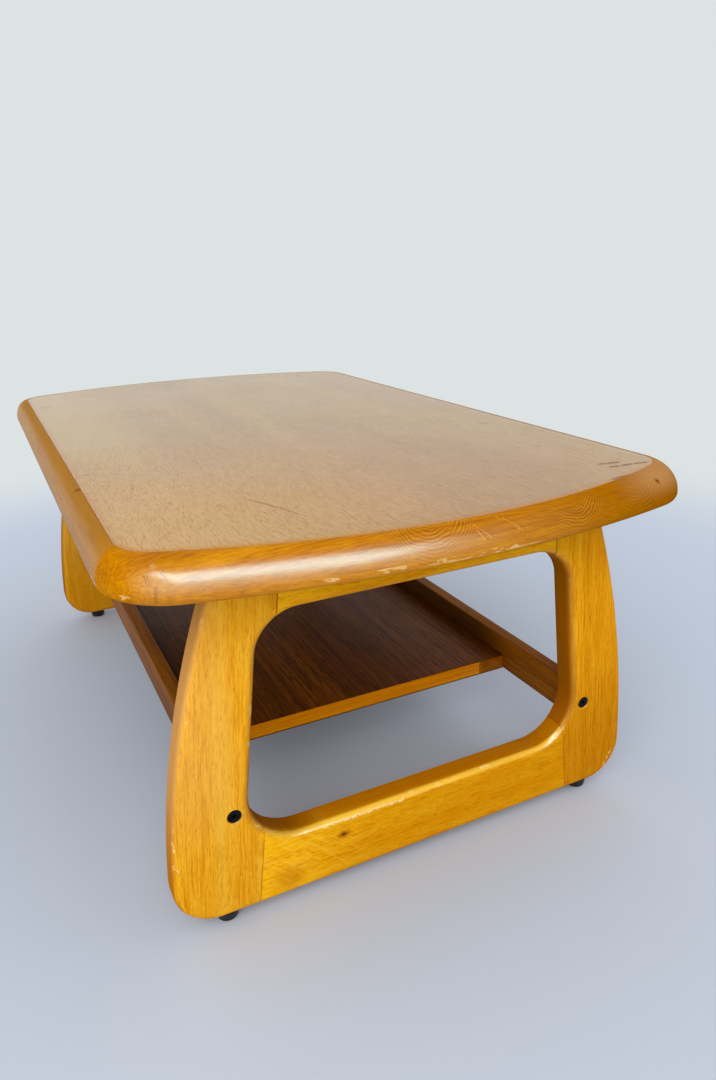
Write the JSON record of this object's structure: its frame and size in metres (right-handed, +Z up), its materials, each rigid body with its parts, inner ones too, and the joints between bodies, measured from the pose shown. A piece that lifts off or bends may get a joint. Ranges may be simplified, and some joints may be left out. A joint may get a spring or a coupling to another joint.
{
  "type": "center table",
  "caption": "Low wooden center table: a bowed, round-edged veneered top on two looped end frames, with a dark shelf hung between two side rails.",
  "frame": {"origin": "on the floor, under the middle of the table", "axes": "+X along the table's length to its right end, -Y to its front long side, +Z up"},
  "size_m": [1.045, 0.632, 0.424],
  "materials": {
    "golden_wood": "golden stained hardwood under worn satin lacquer",
    "lipping_wood": "orange-golden hardwood lipping under glossy worn lacquer",
    "field_veneer": "tan open-pored veneer under hazy gloss lacquer",
    "brown_wood": "brown stained hardwood, satin",
    "dark_veneer": "dark brown veneer, satin",
    "core_board": "raw board core",
    "dowel_wood": "raw beech",
    "black_steel": "black oxide",
    "zinc_steel": "zinc plated",
    "black_plastic": "moulded matt black"
  },
  "bodies": {
    "root": {"back_shelf_rail": "brown_wood", "front_shelf_rail": "brown_wood", "left_back_barrel_nut": "zinc_steel", "left_back_bolt": "black_steel", "left_back_foot": "black_plastic", "left_back_foot_screw": "zinc_steel", "left_back_leg": "golden_wood", "left_back_lower_tenon": "dowel_wood", "left_back_rail_dowel": "dowel_wood", "left_back_shelf_dowel": "dowel_wood", "left_back_top_screw": "zinc_steel", "left_back_upper_tenon": "dowel_wood", "left_bottom_rail": "golden_wood", "left_front_barrel_nut": "zinc_steel", "left_front_bolt": "black_steel", "left_front_foot": "black_plastic", "left_front_foot_screw": "zinc_steel", "left_front_leg": "golden_wood", "left_front_lower_tenon": "dowel_wood", "left_front_rail_dowel": "dowel_wood", "left_front_shelf_dowel": "dowel_wood", "left_front_top_screw": "zinc_steel", "left_front_upper_tenon": "dowel_wood", "left_top_rail": "golden_wood", "right_back_barrel_nut": "zinc_steel", "right_back_bolt": "black_steel", "right_back_foot": "black_plastic", "right_back_foot_screw": "zinc_steel", "right_back_leg": "golden_wood", "right_back_lower_tenon": "dowel_wood", "right_back_rail_dowel": "dowel_wood", "right_back_shelf_dowel": "dowel_wood", "right_back_top_screw": "zinc_steel", "right_back_upper_tenon": "dowel_wood", "right_bottom_rail": "golden_wood", "right_front_barrel_nut": "zinc_steel", "right_front_bolt": "black_steel", "right_front_foot": "black_plastic", "right_front_foot_screw": "zinc_steel", "right_front_leg": "golden_wood", "right_front_lower_tenon": "dowel_wood", "right_front_rail_dowel": "dowel_wood", "right_front_shelf_dowel": "dowel_wood", "right_front_top_screw": "zinc_steel", "right_front_upper_tenon": "dowel_wood", "right_top_rail": "golden_wood", "shelf_back_stile": "brown_wood", "shelf_backing_veneer": "dark_veneer", "shelf_core": "core_board", "shelf_face_veneer": "dark_veneer", "shelf_front_stile": "brown_wood", "shelf_left_lipping": "lipping_wood", "shelf_right_lipping": "lipping_wood", "top_backing_veneer": "brown_wood", "top_core": "core_board", "top_face_veneer": "field_veneer", "top_lipping_back": "lipping_wood", "top_lipping_front": "lipping_wood", "top_lipping_left": "lipping_wood", "top_lipping_right": "lipping_wood"}
  },
  "joints": []
}
